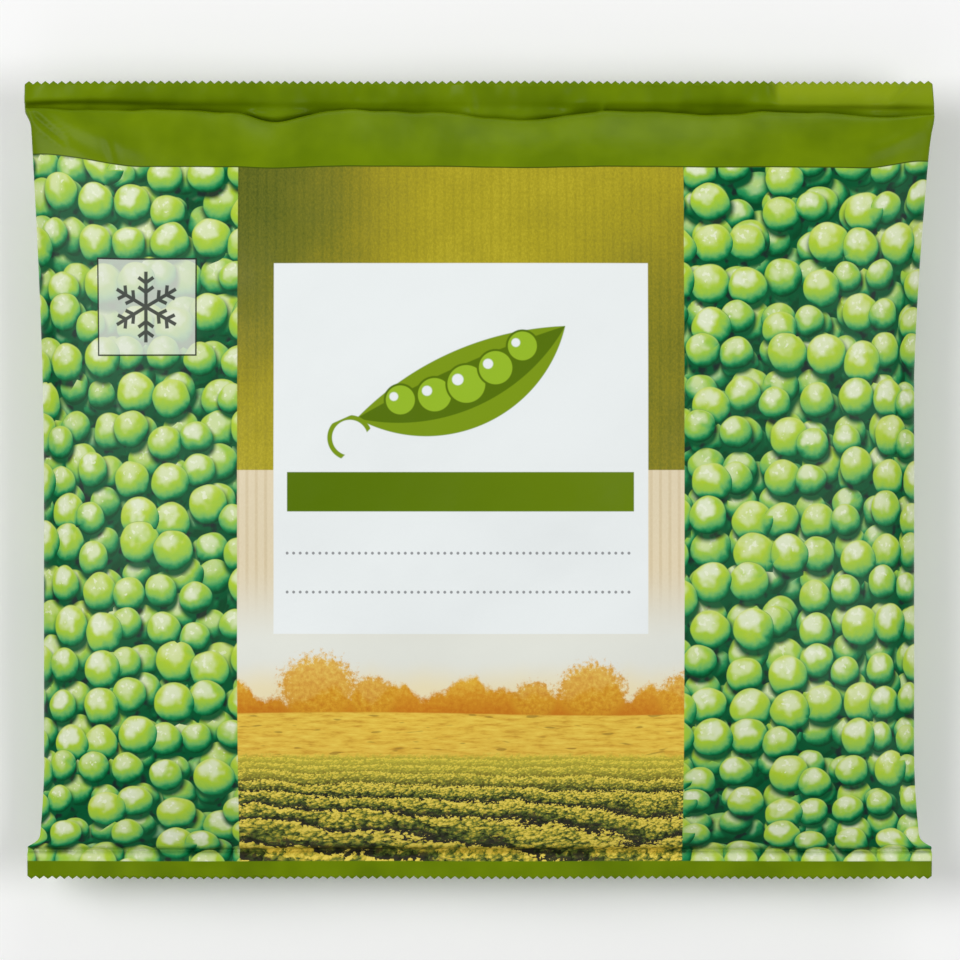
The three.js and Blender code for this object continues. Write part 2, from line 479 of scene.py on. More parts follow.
def film_along(x):
    """How far along the film each point's print lies: the rows' own places, pulled at the top corners."""
    pulled = 0
    for each in CORNER_PULLS:
        share = (x - each["start"]) / (each["whole"] - each["start"])
        pulled = pulled + each["pull"] * ease(share)
    inside = np.maximum(TOP_CREASE - ROW_Y - PULL_KEPT, 0)[:, None]
    kept = np.where(ROW_Y > TOP_CREASE, 0, 1)[:, None] * np.exp(-inside / PULL_FADE)
    return ROW_FILM[:, None] - pulled * kept


def zip_rows(lower, upper, lower_share, upper_share):
    """Triangles between two rows of points that differ in number."""
    faces = []
    i = 0
    j = 0
    while i < len(lower) - 1 or j < len(upper) - 1:
        next_lower = lower_share[i] + lower_share[i + 1] if i < len(lower) - 1 else math.inf
        next_upper = upper_share[j] + upper_share[j + 1] if j < len(upper) - 1 else math.inf
        if next_lower <= next_upper:
            faces.append((lower[i], lower[i + 1], upper[j]))
            i += 1
        else:
            faces.append((lower[i], upper[j + 1], upper[j]))
            j += 1
    return faces


def quads(a, b, c, d):
    return np.stack([a, b, c, d], axis=-1).reshape(-1, 4)


def grid_quads(grid):
    return quads(grid[:-1, :-1], grid[:-1, 1:], grid[1:, 1:], grid[1:, :-1])


def in_order(front, back):
    """Values in the order of the mesh's points: the front, the back within its tooth rows, those rows."""
    return np.concatenate([front.ravel(), back[1:-1].ravel(), front[[0, -1]].ravel()])


def build_film():
    """The whole film as one closed mesh: a fine front, a coarser back, and thin walls along all edges."""
    rows = len(ROW_Y)
    even = np.linspace(-1, 1, TEETH * TOOTH_COLUMNS + 1)
    front_share = crowded(even[None, :], ROW_Y[:, None])
    back_even = back_shares()
    back_share = np.broadcast_to(back_even[None, :], (rows, len(back_even)))
    front = sheet(front_share, front_height, 1)
    back = sheet(back_share, back_height, 0)
    edge_back = sheet(front_share, back_height, 0)[[0, -1]]
    for grid in (front, edge_back):
        tooth_edge(grid, 0, -HALF_LENGTH, 1)
        tooth_edge(grid, -1, HALF_LENGTH, -1)

    seam = int(np.argmin(np.abs(back_even - (LAP["left"] - LAP["edge"] / 2) / HALF_WIDTH)))
    front_u = front_places(front[..., 0])
    left_u, right_u = back_places(back, seam)
    front_v = film_along(front[..., 0])
    back_v = film_along(back[..., 0])

    # The points: the front, the back without its two tooth rows, and those two rows
    inner = back[1:-1]
    points = np.concatenate([front.reshape(-1, 3), inner.reshape(-1, 3), edge_back.reshape(-1, 3)])
    front_index = np.arange(front[..., 0].size).reshape(front.shape[:2])
    back_index = np.arange(inner[..., 0].size).reshape(inner.shape[:2]) + front_index.size
    edge_index = np.arange(edge_back[..., 0].size).reshape(2, -1) + front_index.size + back_index.size

    # Two print places for each point: on the back's right-hand side the film is reached from the right
    from_left = in_order(front_u, left_u)
    from_right = in_order(front_u, right_u)
    along = in_order(front_v, back_v)

    # The walls: the side folds, the teeth and the four corners
    front_left = front_index[1:-1, 0]
    front_right = front_index[1:-1, -1]
    back_left = back_index[:, 0]
    back_right = back_index[:, -1]
    left_wall = quads(back_left[:-1], back_left[1:], front_left[1:], front_left[:-1])
    right_wall = quads(back_right[1:], back_right[:-1], front_right[:-1], front_right[1:])
    low_front = front_index[0]
    high_front = front_index[-1]
    low_back, high_back = edge_index
    low_teeth = quads(low_front[1:], low_front[:-1], low_back[:-1], low_back[1:])
    high_teeth = quads(high_front[:-1], high_front[1:], high_back[1:], high_back[:-1])
    tooth_walls = np.concatenate([low_teeth, high_teeth])
    corners = [
        (low_front[0], front_left[0], back_left[0], low_back[0]),
        (front_left[-1], high_front[0], high_back[0], back_left[-1]),
        (front_right[0], low_front[-1], low_back[-1], back_right[0]),
        (high_front[-1], front_right[-1], back_right[-1], high_back[-1]),
    ]
    right_half = back_index[:, seam:]
    left_half = back_index[:, :seam + 1]
    low_zip = zip_rows(low_back, back_index[0], even, back_even)
    high_zip = zip_rows(back_index[-1], high_back, back_even, even)

    smooth_left = [
        *grid_quads(front_index), *grid_quads(left_half)[:, ::-1], *left_wall[:, ::-1],
        *corners, *(face[::-1] for face in low_zip + high_zip),
    ]
    smooth_right = [*grid_quads(right_half)[:, ::-1], *right_wall[:, ::-1]]
    all_faces = (*smooth_left, *smooth_right, *tooth_walls)
    faces = [tuple(int(corner) for corner in face) for face in all_faces]

    mesh = bpy.data.meshes.new("bag_film")
    mesh.from_pydata((points * METRE).tolist(), [], faces)
    loops = np.concatenate([np.array(face) for face in faces])
    sizes = np.array([len(face) for face in faces])
    on_right = np.zeros(len(faces), dtype=bool)
    on_right[len(smooth_left):len(smooth_left) + len(smooth_right)] = True
    around = np.where(np.repeat(on_right, sizes), from_right[loops], from_left[loops])
    spots = np.stack([around / GIRTH + 0.5, (along[loops] - FILM_BOTTOM) / FILM_LENGTH], axis=-1)
    mesh.uv_layers.new(name="film").data.foreach_set("uv", spots.ravel())
    smooth = np.ones(len(faces), dtype=bool)
    smooth[-len(tooth_walls):] = False
    mesh.polygons.foreach_set("use_smooth", smooth)
    mesh.update()
    film = bpy.data.objects.new("pea_bag_film", mesh)
    bpy.context.scene.collection.objects.link(film)
    return film


# Shader maths: a node's output that takes part in a formula

def operator(operation, swapped=False):
    """A method that joins an output to another output or a number by a maths node."""
    def apply(self, other):
        values = (other, self) if swapped else (self, other)
        return calc(operation, *values)
    return apply


class Out:
    __add__ = __radd__ = operator("ADD")
    __sub__ = operator("SUBTRACT")
    __rsub__ = operator("SUBTRACT", swapped=True)
    __mul__ = __rmul__ = operator("MULTIPLY")
    __truediv__ = operator("DIVIDE")
    __rtruediv__ = operator("DIVIDE", swapped=True)

    def __init__(self, socket):
        self.socket = socket
        self.tree = socket.id_data


def plug(target, value):
    if isinstance(value, Out):
        value.tree.links.new(value.socket, target)
    else:
        target.default_value = value


def new_node(like, kind, values, **settings):
    """A node in the tree of an output, with its settings and with values or outputs in its inputs."""
    node = like.tree.nodes.new("ShaderNode" + kind)
    for name, setting in settings.items():
        setattr(node, name, setting)
    for key, value in values.items():
        plug(node.inputs[key], value)
    return node


def calc(operation, *values):
    like = next(value for value in values if isinstance(value, Out))
    return Out(new_node(like, "Math", dict(enumerate(values)), operation=operation).outputs[0])


def square(value):
    return value * value


def root(value):
    return calc("SQRT", calc("MAXIMUM", value, 0.0))


def highest(a, b):
    return calc("MAXIMUM", a, b)


def size_of(value):
    return calc("ABSOLUTE", value)


def smooth(value, low, high):
    """0 below low and 1 above high, with a smooth change between; high may be the lower one."""
    flipped = not isinstance(low, Out) and not isinstance(high, Out) and low > high
    start, end = (high, low) if flipped else (low, high)
    ends = {"From Min": start, "From Max": end, "To Min": float(flipped), "To Max": float(not flipped)}
    node = new_node(value, "MapRange", {"Value": value, **ends}, interpolation_type="SMOOTHSTEP")
    return Out(node.outputs["Result"])


def above(value, edge, soft):
    return smooth(value - edge, -soft / 2, soft / 2)


def below(value, edge, soft):
    return smooth(edge - value, -soft / 2, soft / 2)


def between(value, low, high, soft):
    return above(value, low, soft) * below(value, high, soft)


def vector(x, y):
    return Out(new_node(x, "CombineXYZ", {"X": x, "Y": y}).outputs[0])


def split(value):
    return tuple(Out(socket) for socket in new_node(value, "SeparateXYZ", {0: value}).outputs)


def noise(place, scale, detail=2.0, roughness=0.5):
    values = {"Vector": place, "Scale": scale, "Detail": detail, "Roughness": roughness}
    return Out(new_node(place, "TexNoise", values, noise_dimensions="2D").outputs["Fac"])


def cells(place, scale=1.0, scatter=1.0, feature="F1"):
    """The nearest or second nearest of scattered points: its distance, its random colour and its place."""
    values = {"Vector": place, "Scale": scale, "Randomness": scatter}
    node = new_node(place, "TexVoronoi", values, voronoi_dimensions="2D", feature=feature)
    return tuple(Out(node.outputs[name]) for name in ("Distance", "Color", "Position"))


def linear(channel):
    share = channel / 255
    return share / 12.92 if share <= 0.04045 else ((share + 0.055) / 1.055) ** 2.4


def colour(red, green, blue):
    return (linear(red), linear(green), linear(blue), 1.0)


def mix(factor, first, second):
    values = {"Factor": factor, 6: first, 7: second}
    return Out(new_node(factor, "Mix", values, data_type="RGBA").outputs[2])


def paint(factor, under, shade):
    return mix(factor, under, colour(*shade))


def ramp(value, *stops):
    """Colours at rising places from 0 to 1, blended between."""
    node = new_node(value, "ValToRGB", {"Fac": value})
    elements = node.color_ramp.elements
    elements.remove(elements[1])
    for number, (place, shade) in enumerate(stops):
        element = elements[0] if number == 0 else elements.new(place)
        element.position = place
        element.color = colour(*shade)
    return Out(node.outputs["Color"])


# The print. Every part takes u, round the film, and v, along it, both in millimetres. Colours are given as
# red, green and blue up to 255, and the stops of a ramp as (place, colour)

# The peas: sizes in radii, the ways to the light and the gleam, and what makes up a pea's tone from 0 to 1
PEA_RADIUS = 4.6
PEA_SIZES = {"least": 0.81, "spread": 0.30}
PEA_LIGHT = (-0.24, 0.70, 0.67)
PEA_GLEAM = (-0.20, 0.46, 0.865)
PEA_TONE = {"base": 0.25, "light": 0.64, "mottle": 0.20, "sparkle": 0.10, "own": 0.20, "contact": 0.12}
PEA_TONES = (
    (0.0, (0, 70, 36)), (0.13, (0, 106, 58)), (0.25, (36, 142, 84)), (0.38, (108, 178, 96)),
    (0.52, (148, 194, 70)), (0.70, (170, 202, 50)), (0.87, (192, 212, 84)), (1.0, (212, 224, 134)),
)

# The pale patch, glint and upper rim of a pea, each weaker on a sunk layer, the shade that it casts, and
# the colours of the gaps
PEA_PATCH = {"rough": 0.44, "start": 0.74, "whole": 1.0, "strength": 0.45, "own": 0.6, "fade": 1.9}
PEA_GLINT = {"rough": 0.55, "start": 1.0, "whole": 1.08, "strength": 0.6, "own": 0.0, "fade": 7 / 3}
PATCH_COLOUR = (221, 230, 197)
GLINT_COLOUR = (238, 242, 222)
RIM_COLOUR = (208, 222, 140)
PEA_CAST = {"shift": (0.06, -0.24), "reach": 1.24, "core": 0.90, "strength": 0.98}
GAP_TONES = ((0.32, (20, 42, 36)), (0.46, (0, 84, 46)))

# How far away in radii a pea that is left out counts as, the part of chance in which pea lies in front, how
# the round outlines are bent, and three layers of peas, the deepest first: how far apart and how scattered
# they lie, the share that is kept, and how dark the layer is
PEA_AWAY = 9.0
PEA_CHANCE = 0.7
PEA_WOBBLE = {"reach": 1.1, "scale": 0.14}
PEA_LAYERS = (
    {"cell": 8.4, "shift": (3.7, 91.3), "scatter": 0.35, "kept": 1.0, "sunk": 0.36},
    {"cell": 8.6, "shift": (41.2, 17.9), "scatter": 0.42, "kept": 1.0, "sunk": 0.12},
    {"cell": 8.8, "shift": (77.4, 53.1), "scatter": 0.55, "kept": 0.93, "sunk": 0.0},
)


def one_pea(place_x, place_y, place, cell, scatter, feature, kept):
    """The nearest or second nearest pea of a layer: the way from its centre in radii, and what it covers."""
    _, draws, centre = cells(place, scatter=scatter, feature=feature)
    first, second, third = split(draws)
    centre_x, centre_y, _ = split(centre)
    scale = cell / PEA_RADIUS / (PEA_SIZES["least"] + PEA_SIZES["spread"] * first)
    dx = (place_x - centre_x) * scale
    dy = (place_y - centre_y) * scale
    far = root(square(dx) + square(dy))
    missing = above(second, kept, 0.001)
    order = dy + PEA_CHANCE * third - PEA_AWAY * (above(far, 0.97, 0.02) + missing)
    far = far + PEA_AWAY * missing
    return {"dx": dx, "dy": dy, "far": far, "first": first, "third": third, "order": order}


def choose(front, a, b):
    return b + front * (a - b)


def pea_cast(pea):
    """The shade that a pea lays on the peas below it, from 0 to 1."""
    shift_x, shift_y = PEA_CAST["shift"]
    reach = root(square(pea["dx"] - shift_x) + square(pea["dy"] - shift_y))
    return smooth(reach, PEA_CAST["reach"], PEA_CAST["core"]) * below(pea["far"], PEA_AWAY / 2, 0.1)


def facing(pea, up, way):
    """How far a pea's surface faces a way that is given across, along and up."""
    return pea["dx"] * way[0] + pea["dy"] * way[1] + up * way[2]


def bright_mark(pea, gleam, grain, sunk, rough, start, whole, strength, own, fade):
    """How strong a bright mark with a rough edge is, from 0 to 1."""
    mark = smooth(gleam + rough * (grain - 0.5), start, whole)
    return mark * (strength + own * pea["third"]) * (1.0 - fade * sunk)


def pea_shade(pea, hidden_far, mottle, sparkle, sunk):
    """The colour of a pea that lies over one whose centre is hidden_far radii away."""
    up = root(1.0 - square(pea["far"]))
    tone = PEA_TONE["base"] - sunk + PEA_TONE["light"] * facing(pea, up, PEA_LIGHT)
    tone = tone + PEA_TONE["mottle"] * (mottle - 0.5) + PEA_TONE["sparkle"] * (sparkle - 0.5)
    tone = tone + PEA_TONE["own"] * (pea["first"] - 0.5)
    shade = ramp(tone - PEA_TONE["contact"] * smooth(hidden_far, 1.25, 0.95), *PEA_TONES)
    gleam = facing(pea, up, PEA_GLEAM)
    shade = paint(bright_mark(pea, gleam, mottle, sunk, **PEA_PATCH), shade, PATCH_COLOUR)
    shade = paint(bright_mark(pea, gleam, sparkle, sunk, **PEA_GLINT), shade, GLINT_COLOUR)
    rim = smooth(pea["far"], 0.78, 0.98) * smooth(pea["dy"], 0.1, 0.8)
    return paint(rim * (0.4 - 0.8 * sunk), shade, RIM_COLOUR)


def pea_layer(under, deep, u, v, mottle, sparkle, cell, shift, scatter, kept, sunk):
    """One layer of round peas, each lit from above and in front of those behind it."""
    place_x = u / cell + shift[0]
    place_y = v / cell + shift[1]
    place = vector(place_x, place_y)
    near = one_pea(place_x, place_y, place, cell, scatter, "F1", kept)
    other = one_pea(place_x, place_y, place, cell, scatter, "F2", kept)
    front = above(near["order"], other["order"], 0.04)
    pea = {key: choose(front, near[key], other[key]) for key in ("dx", "dy", "far", "first", "third")}
    hidden_far = choose(front, other["far"], near["far"])
    shade = pea_shade(pea, hidden_far, mottle, sparkle, sunk)
    cast = highest(pea_cast(near), pea_cast(other)) * PEA_CAST["strength"]
    return mix(smooth(pea["far"], 0.99, 0.92), mix(cast, under, deep), shade)


def pea_print(u, v):
    spot = vector(u, v)
    elsewhere = vector(u + 57.0, v - 31.0)
    wobble = PEA_WOBBLE["reach"] * (noise(spot, PEA_WOBBLE["scale"], 1.0) - 0.5)
    sway = PEA_WOBBLE["reach"] * (noise(elsewhere, PEA_WOBBLE["scale"], 1.0) - 0.5)
    mottle = noise(spot, scale=0.34, detail=1.5)
    sparkle = noise(spot, scale=0.9, detail=1.0)
    deep = ramp(mottle, *GAP_TONES)
    bed = deep
    for layer in PEA_LAYERS:
        bed = pea_layer(bed, deep, u + wobble, v + sway, mottle, sparkle, **layer)
    return bed


# The centre panel: ribbed board, plain above and pale below, fading into a field
PANEL_LEFT = film_across(237)
PANEL_RIGHT = film_across(684.5)
BOARD_EDGE = film_at(470)
SKY_TOP = film_at(560)
SKY_FULL = film_at(648)
RIB_PITCH = 9.29 * PIXEL
DARK_LEFT = {"u": film_across(232), "v": film_at(190), "squash": 0.80, "dark": 4.0, "bright": 50.0}
DARK_RIGHT = {"u": film_across(706), "v": film_at(388), "squash": 0.72, "dark": 6.0, "bright": 46.0}
RIGHT_SHADE = 0.60
FLECKS = {"scale": 1.3, "detail": 3.0, "roughness": 0.75}
OLIVE_GRAIN = {"rib": 0.08, "fleck": 0.75, "blotch": 0.26}
OLIVE_TONE = {"least": 0.12, "spread": 0.70}
BEIGE_GRAIN = {"rib": 0.30, "fleck": 0.35}
OLIVE_TONES = (
    (0.0, (80, 90, 26)), (0.12, (94, 102, 30)), (0.365, (119, 119, 34)),
    (0.61, (147, 138, 35)), (0.82, (168, 156, 35)), (1.0, (188, 175, 44)),
)
BEIGE_TONES = ((0.0, (204, 184, 146)), (0.5, (221, 206, 172)), (1.0, (236, 224, 196)))
SKY_COLOUR = (227, 229, 220)


def ribs(u):
    turn = 2 * math.pi / RIB_PITCH
    groove = smooth(calc("SINE", u * turn), 0.1, 1.0)
    uneven = noise(vector(u, 0.0), scale=0.45, detail=1.0)
    return (0.5 - groove) * (0.5 + uneven)


def corner_shade(at_u, at_v, u, v, squash, dark, bright):
    return smooth(root(square(at_u - u) + square((at_v - v) * squash)), bright, dark)


def board_print(u, v):
    rib = ribs(u)
    fleck = noise(vector(u * 1.6, v), **FLECKS) - 0.5
    blotch = noise(vector(u, v), scale=0.11) - 0.5
    glow = 1.0 - corner_shade(u, v, **DARK_LEFT) - RIGHT_SHADE * corner_shade(u, v, **DARK_RIGHT)
    glow = glow + OLIVE_GRAIN["rib"] * rib + OLIVE_GRAIN["fleck"] * fleck + OLIVE_GRAIN["blotch"] * blotch
    olive = ramp(OLIVE_TONE["least"] + OLIVE_TONE["spread"] * glow, *OLIVE_TONES)
    haze = smooth(v, SKY_TOP, SKY_FULL)
    pale = 0.5 + BEIGE_GRAIN["rib"] * rib * (1.0 - haze) + BEIGE_GRAIN["fleck"] * fleck
    beige = paint(haze, ramp(pale, *BEIGE_TONES), SKY_COLOUR)
    return mix(above(v, BOARD_EDGE, 0.25), beige, olive)


# The field: a hedge with round trees, a pale stubble strip, and crop rows that widen towards the front
HEDGE_FOOT = film_at(714)
STUBBLE_END = film_at(756)
FIELD_END = film_at(861)
FIELD_DEPTH = STUBBLE_END - FIELD_END
ROWS_START = 0.15
SMALLEST_LEAF = 0.45
ROWS_PER_FOLD = 3.5
ROW_SLANT = 0.022
TREES = (
    {"x": 318, "top": 654, "radius": 8.0},
    {"x": 372, "top": 676, "radius": 5.0},
    {"x": 534, "top": 681, "radius": 4.6},
    {"x": 592, "top": 662, "radius": 7.0},
    {"x": 690, "top": 672, "radius": 6.6},
)
CROWN_STRETCH = 1.15
LEAVES = {"scale": 0.85, "detail": 4.0, "roughness": 0.72}
STREAKS = {"scale": 1.2, "detail": 3.0, "roughness": 0.65}
TUFTS = {"scale": 0.46, "detail": 4.0, "roughness": 0.75}
HEDGE_TOP = {"low": 2.4, "rise": 6.4, "ragged": 3.4}
HEDGE_TONES = ((0.0, (200, 122, 28)), (0.4, (212, 146, 38)), (1.0, (234, 194, 72)))
CROWN_TONES = ((0.0, (194, 120, 28)), (0.45, (216, 158, 42)), (1.0, (238, 208, 88)))
GLOW_COLOUR = (243, 220, 146)
STUBBLE_TONES = ((0.25, (204, 154, 52)), (0.47, (229, 189, 70)), (0.75, (240, 210, 88)))
TUFT_COLOUR = (150, 116, 40)
CROP_TONES = (
    (0.0, (34, 38, 22)), (0.2, (58, 72, 32)), (0.42, (98, 113, 46)),
    (0.60, (152, 150, 54)), (0.80, (212, 190, 66)), (1.0, (238, 216, 92)),
)
SOIL_COLOUR = (50, 47, 38)
FAR_CROP_COLOUR = (222, 204, 68)


def tree_crown(u, v, ragged, x, top, radius):
    across = (u - film_across(x)) / (radius * CROWN_STRETCH)
    up = (v - film_at(top) + radius) / radius
    reach = root(square(across) + square(up))
    return smooth(reach + ragged, 1.10, 0.78)


def field_print(under, u, v):
    leaf = noise(vector(u, v), **LEAVES) - 0.5
    top_line = noise(vector(u, 4.0), scale=0.085, roughness=0.55)
    hedge_top = HEDGE_FOOT + HEDGE_TOP["low"] + HEDGE_TOP["rise"] * smooth(top_line, 0.28, 0.76)
    rise_up = (v - HEDGE_FOOT) / 10.0
    hedge = ramp(rise_up + leaf, *HEDGE_TONES)
    glow = smooth(rise_up + 0.4 * top_line, 1.5, 0.65) * 0.55
    scene = paint(glow, under, GLOW_COLOUR)
    scene = mix(below(v + HEDGE_TOP["ragged"] * leaf, hedge_top, 1.8), scene, hedge)
    crowns = tree_crown(u, v, leaf, **TREES[0])
    for each in TREES[1:]:
        crowns = highest(crowns, tree_crown(u, v, leaf, **each))
    leaves = ramp(0.30 + 0.30 * rise_up + 1.2 * leaf, *CROWN_TONES)
    scene = mix(crowns * 0.94, scene, leaves)
    streak = noise(vector(u * 0.16, v), **STREAKS)
    stubble = ramp(streak, *STUBBLE_TONES)
    tuft = smooth(noise(vector(u * 0.22 + 9.0, v), scale=0.75, detail=1.0), 0.70, 0.78)
    stubble = paint(tuft * 0.65, stubble, TUFT_COLOUR)
    slope = 0.4 * calc("SINE", u * 0.055)
    scene = mix(below(v + slope, HEDGE_FOOT, 0.5), scene, stubble)
    return mix(below(v + 3.0 * leaf, STUBBLE_END, 1.6), scene, crop_print(u, v))


def crop_print(u, v):
    """Leafy rows across the field, seen from low down: rows and leaves grow towards the front."""
    near = calc("MAXIMUM", (STUBBLE_END - v) / FIELD_DEPTH, 0.0)
    fold = calc("LOGARITHM", ROWS_START + near, math.e) * ROWS_PER_FOLD
    clump = noise(vector(u, v * 1.5), scale=0.07, roughness=0.6) - 0.5
    index = fold - ROW_SLANT * u * (0.2 + near) + 1.3 * clump
    row = calc("FLOOR", index + 0.5)
    size = highest(calc("POWER", math.e, row / ROWS_PER_FOLD), SMALLEST_LEAF)
    leaf_x = u / size + 37.0 * row
    leaf_y = v / size
    tuft = noise(vector(leaf_x, leaf_y * 1.2), **TUFTS) - 0.5
    far, draws, _ = cells(vector(leaf_x + 3.0 * tuft, leaf_y * 1.3 + 3.0 * tuft), scale=0.80)
    blade = 0.5 - far
    draw, _, _ = split(draws)
    part = calc("FRACT", index + 0.55 * tuft + 0.30 * blade + 40.0)
    tone = 0.84 - 0.78 * part + 0.95 * blade + 0.60 * (draw - 0.5) + 1.2 * tuft
    soil = smooth(part + 0.4 * tuft, 0.74, 0.86) * smooth(near, 0.10, 0.55)
    ground = paint(soil * 0.9, ramp(tone, *CROP_TONES), SOIL_COLOUR)
    return paint(smooth(near, 0.34, 0.0) * 0.62, ground, FAR_CROP_COLOUR)


def seen_box(left, right, top, bottom):
    """A box on the film, from its edges in the photograph."""
    sides = {"left": film_across(left), "right": film_across(right)}
    return {**sides, "top": film_at(top), "bottom": film_at(bottom)}


# The white label with its green bar, its dotted lines and a drawn pod
LABEL = seen_box(273.4, 648.3, 263, 634)
BAR = seen_box(287, 634, 472, 511.5)
DOT_LINES = (film_at(553.2), film_at(592.2))
DOTS = {"left": film_across(287), "right": film_across(633), "pitch": 6.494 * PIXEL, "radius": 0.33}
BAR_COLOURS = ((87, 115, 2), (102, 128, 7))
LABEL_COLOUR = (234, 239, 239)
DOT_COLOUR = (120, 122, 124)
POD = {"x": film_across(461), "v": film_at(372), "length": 52, "tilt": math.radians(24)}
POD_SHELL = (-13.0, 5.0)
POD_INSIDE = (-8.6, 1.4)
POD_PEAS = {"pitch": 7.6, "radius": 4.3, "shrink": 0.5, "bend": 0.012, "low": 3.0, "outline": 0.5}
STALK = {"past_end": 3.2, "low": 3.4, "radius": 4.6, "half": 0.55}
POD_GREEN = (124, 152, 22)
POD_DARK = (86, 114, 8)
POD_PEA_GREEN = (150, 186, 42)
POD_SHINE = (233, 238, 240)


def rectangle(u, v, left, right, top, bottom, soft=0.25):
    return between(u, left, right, soft) * between(v, bottom, top, soft)


def dotted_line(u, v, place):
    step = calc("PINGPONG", u - DOTS["left"], DOTS["pitch"] / 2)
    reach = root(square(step) + square(v - place))
    return below(reach, DOTS["radius"], 0.2) * between(u, DOTS["left"] - 0.3, DOTS["right"], 0.1)


def pod_print(under, u, v):
    cosine = math.cos(POD["tilt"])
    sine = math.sin(POD["tilt"])
    x = (u - POD["x"]) * cosine + (v - POD["v"]) * sine
    y = (v - POD["v"]) * cosine - (u - POD["x"]) * sine
    half = POD["length"] / 2

    def inside_arc(height):
        """Inside the circle that passes through the pod's two ends and bulges by the height."""
        radius = (half * half + height * height) / (2 * abs(height))
        middle = height - math.copysign(radius, height)
        return below(root(square(x) + square(y - middle)), radius, 0.3)

    def lens(lower, upper):
        return inside_arc(lower) * inside_arc(upper) * between(x, -half, half, 0.2)

    art = paint(lens(*POD_SHELL), under, POD_GREEN)
    art = paint(lens(*POD_INSIDE), art, POD_DARK)
    for number in (-2, -1, 0, 1, 2):
        place = number * POD_PEAS["pitch"]
        size = POD_PEAS["radius"] - POD_PEAS["shrink"] * abs(number)
        middle = POD_PEAS["bend"] * place * place - POD_PEAS["low"]
        reach = root(square(x - place) + square(y - middle))
        art = paint(below(reach, size + POD_PEAS["outline"], 0.3), art, POD_DARK)
        art = paint(below(reach, size, 0.3), art, POD_PEA_GREEN)
        shine = root(square(x - place + 0.32 * size) + square(y - middle - 0.4 * size))
        art = paint(below(shine, 0.3 * size, 0.4), art, POD_SHINE)
    stalk = root(square(x + half + STALK["past_end"]) + square(y + STALK["low"]))
    ring = below(size_of(stalk - STALK["radius"]), STALK["half"], 0.3)
    kept = below(y, 1.2, 0.3) * above(y - 0.4 * x, 6.2, 0.4)
    return paint(ring * kept, art, POD_GREEN)


def label_print(under, u, v):
    art = pod_print(under, u, v)
    dark, light = BAR_COLOURS
    bar = mix(smooth(u, BAR["left"], BAR["right"]), colour(*dark), colour(*light))
    art = mix(rectangle(u, v, **BAR), art, bar)
    for place in DOT_LINES:
        art = paint(dotted_line(u, v, place) * 0.85, art, DOT_COLOUR)
    return art


# The clear box on the left, with a snow crystal in it
BOX = seen_box(98.5, 196.5, 257.5, 355.5)
BOX_LINE = 0.36
BOX_CLEAR = (222, 228, 216)
BOX_INK = (24, 30, 24)
CRYSTAL_INK = (34, 40, 36)
CRYSTAL = {"radius": 8.2, "line": 0.42, "barbs": (3.4, 5.6), "barb_length": 2.2, "barb_angle": 55}


def crystal(u, v):
    x = u - (BOX["left"] + BOX["right"]) / 2
    y = v - (BOX["top"] + BOX["bottom"]) / 2
    reach = root(square(x) + square(y))
    turn = calc("ARCTAN2", y, x) + math.pi / 6
    fold = calc("PINGPONG", turn + 2 * math.pi, math.pi / 6)
    out = reach * calc("COSINE", fold)
    side = reach * calc("SINE", fold)
    line = CRYSTAL["line"]
    marks = below(side, line, 0.2) * below(out, CRYSTAL["radius"], 0.2)
    for start in CRYSTAL["barbs"]:
        angle = math.radians(CRYSTAL["barb_angle"])
        along = (out - start) * math.cos(angle) + side * math.sin(angle)
        off = size_of(side * math.cos(angle) - (out - start) * math.sin(angle))
        barb = below(off, line, 0.2) * between(along, 0.0, CRYSTAL["barb_length"], 0.2)
        marks = highest(marks, barb)
    return marks


def box_print(under, u, v):
    inner = rectangle(u, v, BOX["left"] + BOX_LINE, BOX["right"] - BOX_LINE,
                      BOX["top"] - BOX_LINE, BOX["bottom"] + BOX_LINE, soft=0.15)
    art = paint(inner * 0.66, under, BOX_CLEAR)
    art = paint((1.0 - inner) * 0.95, art, BOX_INK)
    return paint(crystal(u, v) * inner * 0.94, art, CRYSTAL_INK)


# The green bands at both ends, a bare panel on the back, and painted light on the top seal where it leans
# out towards the light, stronger towards the teeth. The real lean in the seal's shape lights part of that
# stretch, and the paint adds the rest
BAND_TOP = film_at(166)
BAND_BOTTOM = film_at(861)
BACK_PANEL = {"from": 158, "top": 62, "bottom": -74}
BACK_COLOUR = (226, 228, 216)
SEAL_LIGHT_PATCH = {"lean": LEANS[0], "foot": film_at(101), "soft": 3.5, "past_end": 0.75}
SEAL_LIGHT_STRENGTH = {"least": 0.48, "spread": 0.34}
GREEN_TONES = ((0.3, (97, 122, 1)), (0.5, (104, 129, 2)), (0.7, (110, 135, 3)))
LIT_GREEN = (142, 161, 24)
LINE_COLOUR = (46, 62, 12)
FIELD_TOP = film_at(636)


def on_panel(u, v):
    return between(u, PANEL_LEFT, PANEL_RIGHT, 0.25)


def on_field(v):
    return below(v, FIELD_TOP, 0.1)


def on_green(v):
    return highest(above(v, BAND_TOP, 0.25), below(v, BAND_BOTTOM, 0.25))


